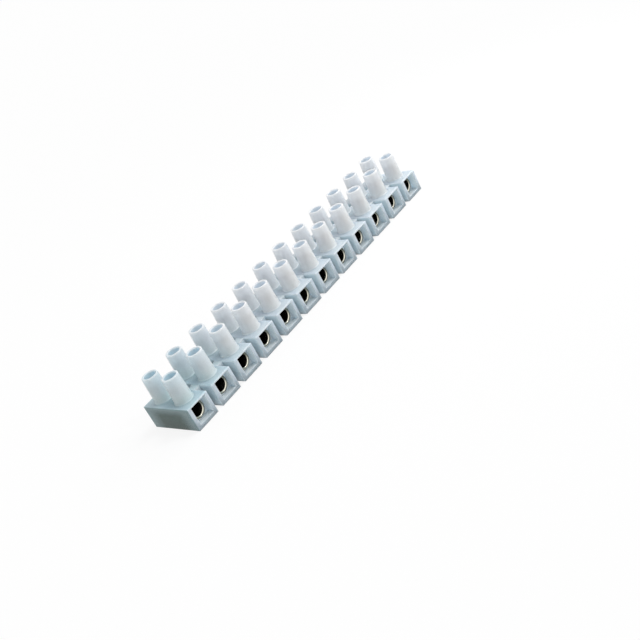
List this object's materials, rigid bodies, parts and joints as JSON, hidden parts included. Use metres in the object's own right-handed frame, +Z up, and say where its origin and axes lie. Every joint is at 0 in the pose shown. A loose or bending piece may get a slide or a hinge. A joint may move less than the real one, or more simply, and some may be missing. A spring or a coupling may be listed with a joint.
{
  "type": "barrier terminal strip",
  "caption": "Translucent screw terminal strip: a row of joined blocks with square wire entries front and rear, and paired screw turrets over metal barrels.",
  "frame": {"origin": "centre of the base of the strip", "axes": "+X along the strip from the first way to the last, +Y from the front wire entries to the rear ones, +Z up through the screw turrets"},
  "size_m": [0.118, 0.0186, 0.0151],
  "materials": {
    "housing": "natural translucent moulding, satin",
    "barrel": "nickel-plated, slightly dull",
    "screw": "zinc-plated"
  },
  "bodies": {
    "strip": {"housing": "housing", "barrel_1": "barrel", "barrel_2": "barrel", "barrel_3": "barrel", "barrel_4": "barrel", "barrel_5": "barrel", "barrel_6": "barrel", "barrel_7": "barrel", "barrel_8": "barrel", "barrel_9": "barrel", "barrel_10": "barrel", "barrel_11": "barrel", "barrel_12": "barrel"},
    "front_screw_1": {"front_screw_1": "screw"},
    "front_screw_2": {"front_screw_2": "screw"},
    "front_screw_3": {"front_screw_3": "screw"},
    "front_screw_4": {"front_screw_4": "screw"},
    "front_screw_5": {"front_screw_5": "screw"},
    "front_screw_6": {"front_screw_6": "screw"},
    "front_screw_7": {"front_screw_7": "screw"},
    "front_screw_8": {"front_screw_8": "screw"},
    "front_screw_9": {"front_screw_9": "screw"},
    "front_screw_10": {"front_screw_10": "screw"},
    "front_screw_11": {"front_screw_11": "screw"},
    "front_screw_12": {"front_screw_12": "screw"},
    "rear_screw_1": {"rear_screw_1": "screw"},
    "rear_screw_2": {"rear_screw_2": "screw"},
    "rear_screw_3": {"rear_screw_3": "screw"},
    "rear_screw_4": {"rear_screw_4": "screw"},
    "rear_screw_5": {"rear_screw_5": "screw"},
    "rear_screw_6": {"rear_screw_6": "screw"},
    "rear_screw_7": {"rear_screw_7": "screw"},
    "rear_screw_8": {"rear_screw_8": "screw"},
    "rear_screw_9": {"rear_screw_9": "screw"},
    "rear_screw_10": {"rear_screw_10": "screw"},
    "rear_screw_11": {"rear_screw_11": "screw"},
    "rear_screw_12": {"rear_screw_12": "screw"}
  },
  "joints": [
    {"name": "front_screw_1_travel", "type": "slide", "parent": "strip", "child": "front_screw_1", "axis": [0, 0, 1], "range_m": [-0.0034, 0]},
    {"name": "front_screw_2_travel", "type": "slide", "parent": "strip", "child": "front_screw_2", "axis": [0, 0, 1], "range_m": [-0.0034, 0]},
    {"name": "front_screw_3_travel", "type": "slide", "parent": "strip", "child": "front_screw_3", "axis": [0, 0, 1], "range_m": [-0.0034, 0]},
    {"name": "front_screw_4_travel", "type": "slide", "parent": "strip", "child": "front_screw_4", "axis": [0, 0, 1], "range_m": [-0.0034, 0]},
    {"name": "front_screw_5_travel", "type": "slide", "parent": "strip", "child": "front_screw_5", "axis": [0, 0, 1], "range_m": [-0.0034, 0]},
    {"name": "front_screw_6_travel", "type": "slide", "parent": "strip", "child": "front_screw_6", "axis": [0, 0, 1], "range_m": [-0.0034, 0]},
    {"name": "front_screw_7_travel", "type": "slide", "parent": "strip", "child": "front_screw_7", "axis": [0, 0, 1], "range_m": [-0.0034, 0]},
    {"name": "front_screw_8_travel", "type": "slide", "parent": "strip", "child": "front_screw_8", "axis": [0, 0, 1], "range_m": [-0.0034, 0]},
    {"name": "front_screw_9_travel", "type": "slide", "parent": "strip", "child": "front_screw_9", "axis": [0, 0, 1], "range_m": [-0.0034, 0]},
    {"name": "front_screw_10_travel", "type": "slide", "parent": "strip", "child": "front_screw_10", "axis": [0, 0, 1], "range_m": [-0.0034, 0]},
    {"name": "front_screw_11_travel", "type": "slide", "parent": "strip", "child": "front_screw_11", "axis": [0, 0, 1], "range_m": [-0.0034, 0]},
    {"name": "front_screw_12_travel", "type": "slide", "parent": "strip", "child": "front_screw_12", "axis": [0, 0, 1], "range_m": [-0.0034, 0]},
    {"name": "rear_screw_1_travel", "type": "slide", "parent": "strip", "child": "rear_screw_1", "axis": [0, 0, 1], "range_m": [-0.0034, 0]},
    {"name": "rear_screw_2_travel", "type": "slide", "parent": "strip", "child": "rear_screw_2", "axis": [0, 0, 1], "range_m": [-0.0034, 0]},
    {"name": "rear_screw_3_travel", "type": "slide", "parent": "strip", "child": "rear_screw_3", "axis": [0, 0, 1], "range_m": [-0.0034, 0]},
    {"name": "rear_screw_4_travel", "type": "slide", "parent": "strip", "child": "rear_screw_4", "axis": [0, 0, 1], "range_m": [-0.0034, 0]},
    {"name": "rear_screw_5_travel", "type": "slide", "parent": "strip", "child": "rear_screw_5", "axis": [0, 0, 1], "range_m": [-0.0034, 0]},
    {"name": "rear_screw_6_travel", "type": "slide", "parent": "strip", "child": "rear_screw_6", "axis": [0, 0, 1], "range_m": [-0.0034, 0]},
    {"name": "rear_screw_7_travel", "type": "slide", "parent": "strip", "child": "rear_screw_7", "axis": [0, 0, 1], "range_m": [-0.0034, 0]},
    {"name": "rear_screw_8_travel", "type": "slide", "parent": "strip", "child": "rear_screw_8", "axis": [0, 0, 1], "range_m": [-0.0034, 0]},
    {"name": "rear_screw_9_travel", "type": "slide", "parent": "strip", "child": "rear_screw_9", "axis": [0, 0, 1], "range_m": [-0.0034, 0]},
    {"name": "rear_screw_10_travel", "type": "slide", "parent": "strip", "child": "rear_screw_10", "axis": [0, 0, 1], "range_m": [-0.0034, 0]},
    {"name": "rear_screw_11_travel", "type": "slide", "parent": "strip", "child": "rear_screw_11", "axis": [0, 0, 1], "range_m": [-0.0034, 0]},
    {"name": "rear_screw_12_travel", "type": "slide", "parent": "strip", "child": "rear_screw_12", "axis": [0, 0, 1], "range_m": [-0.0034, 0]}
  ]
}
